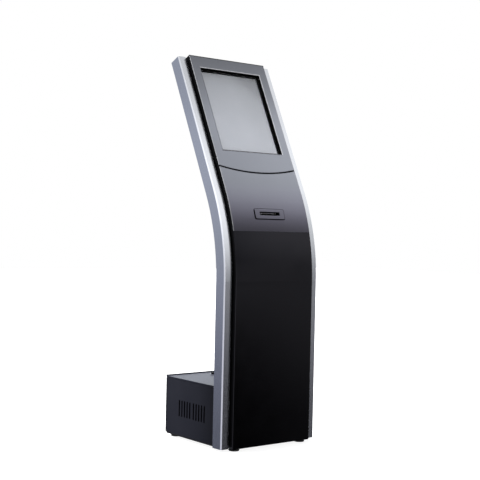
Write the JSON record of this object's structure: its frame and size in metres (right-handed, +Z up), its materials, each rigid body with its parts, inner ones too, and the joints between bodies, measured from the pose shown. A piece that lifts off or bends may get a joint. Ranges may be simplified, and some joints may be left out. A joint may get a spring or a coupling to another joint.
{
  "type": "touchscreen kiosk",
  "caption": "Free-standing ticket kiosk: bent side rails, leaning touchscreen head, ticket slot, black lower panel and a low electronics box at the rear with lid and service door.",
  "frame": {"origin": "on the floor, under the centre of the overall box", "axes": "+X to the kiosk's left-to-right seen from the front, +Y from the screen side to the rear box, +Z up"},
  "size_m": [0.44, 0.3824, 1.4491],
  "materials": {
    "rail_aluminium": "satin anodised",
    "grey_panel": "satin metallic lacquer",
    "black_panel": "gloss black",
    "black_metal": "satin black powder coat",
    "box_steel": "fine textured charcoal powder coat",
    "plate_steel": "powder coat",
    "zinc_steel": "zinc plated",
    "bright_steel": "ground",
    "black_plastic": "fine moulded texture",
    "foot_plastic": "moulded",
    "rubber": "matt",
    "screen_glass": "polished",
    "display": "anti-glare display",
    "paper": "thermal paper",
    "circuit_board": "solder mask",
    "lock_chrome": "polished"
  },
  "bodies": {
    "cabinet": {"rail_left": "rail_aluminium", "rail_right": "rail_aluminium", "rail_caps": "rail_aluminium", "base_plate": "plate_steel", "foot_pads": "foot_plastic", "foot_studs": "zinc_steel", "cross_member_box": "zinc_steel", "cross_member_door_low": "zinc_steel", "cross_member_door_high": "zinc_steel", "cross_members_screen": "zinc_steel", "lid_catch": "box_steel", "panel_frame_left": "black_metal", "panel_frame_right": "black_metal", "lower_panel": "black_panel", "mid_panel": "grey_panel", "screen_bezel": "grey_panel", "top_cap": "black_metal", "screen_surround": "black_plastic", "touch_glass": "screen_glass", "lcd_panel": "display", "lcd_housing": "zinc_steel", "monitor_brackets": "zinc_steel", "ticket_bezel": "grey_panel", "ticket_throat": "black_plastic", "printer_shelf": "zinc_steel", "printer_chassis": "zinc_steel", "print_head": "rail_aluminium", "cutter_frame": "black_plastic", "printer_drive": "black_plastic", "roll_cradle": "zinc_steel", "roll_spindle": "black_plastic", "column_back_lower": "box_steel", "column_back_upper": "box_steel", "hinge_frames": "zinc_steel", "box_side_left": "box_steel", "box_side_right": "box_steel", "box_rear_panel": "box_steel", "fan_frame": "black_plastic", "power_inlet": "black_plastic", "cable_grommet": "rubber", "pc_case": "plate_steel", "motherboard": "circuit_board", "power_supply": "black_plastic", "column_harness": "rubber", "panel_screws": "zinc_steel"},
    "lid": {"box_lid": "box_steel", "lid_hinge_leaves": "zinc_steel", "lid_lock_body": "lock_chrome"},
    "lid_lock": {"lid_lock_cam": "black_metal"},
    "door": {"printer_door": "box_steel", "door_hinge_leaves": "zinc_steel", "door_lock_body": "lock_chrome"},
    "door_lock": {"door_lock_cam": "bright_steel"},
    "power_switch": {"power_rocker": "black_plastic"},
    "fan": {"fan_rotor": "black_plastic"},
    "platen": {"platen_roller": "rubber", "platen_shaft": "bright_steel"},
    "paper": {"paper_roll": "paper"},
    "blade": {"cutter_blade": "bright_steel"},
    "feed_key": {"feed_button": "black_plastic"}
  },
  "joints": [
    {"name": "lid_hinge", "type": "hinge", "parent": "cabinet", "child": "lid", "pos_m": [0, -0.119, 0.2325], "axis": [1, 0, 0], "range_deg": [0, 88]},
    {"name": "lid_lock_turn", "type": "hinge", "parent": "lid", "child": "lid_lock", "pos_m": [-0.036, 0.1242, 0.229], "axis": [0, 0, 1], "range_deg": [0, 90]},
    {"name": "door_hinge", "type": "hinge", "parent": "cabinet", "child": "door", "pos_m": [0, -0.119, 0.607], "axis": [-1, 0, 0], "range_deg": [0, 100]},
    {"name": "door_lock_turn", "type": "hinge", "parent": "door", "child": "door_lock", "pos_m": [0, -0.07608, 0.86611], "axis": [0, -0.9303, 0.3668], "range_deg": [0, 90]},
    {"name": "power_switch_rock", "type": "hinge", "parent": "cabinet", "child": "power_switch", "pos_m": [0.1245, 0.1847, 0.071], "axis": [1, 0, 0], "range_deg": [0, 24]},
    {"name": "fan_spin", "type": "hinge", "parent": "cabinet", "child": "fan", "pos_m": [-0.11, 0.1742, 0.121], "axis": [0, 1, 0], "continuous": true},
    {"name": "paper_roll_turn", "type": "hinge", "parent": "cabinet", "child": "paper", "pos_m": [-0.004, -0.13003, 0.74687], "axis": [1, 0, 0], "continuous": true},
    {"name": "platen_turn", "type": "hinge", "parent": "cabinet", "child": "platen", "pos_m": [-0.004, -0.12018, 0.83288], "axis": [1, 0, 0], "continuous": true},
    {"name": "cutter_slide", "type": "slide", "parent": "cabinet", "child": "blade", "axis": [0, -0.3171, -0.9484], "range_m": [0, 0.005]},
    {"name": "feed_button_press", "type": "slide", "parent": "cabinet", "child": "feed_key", "axis": [0, -0.9484, 0.3171], "range_m": [0, 0.0015], "stiffness_N_per_m": 300, "springref_m": -0.0005}
  ],
  "couplings": [
    {"joint": "platen_turn", "follows": "paper_roll_turn", "ratio": -4.75}
  ]
}
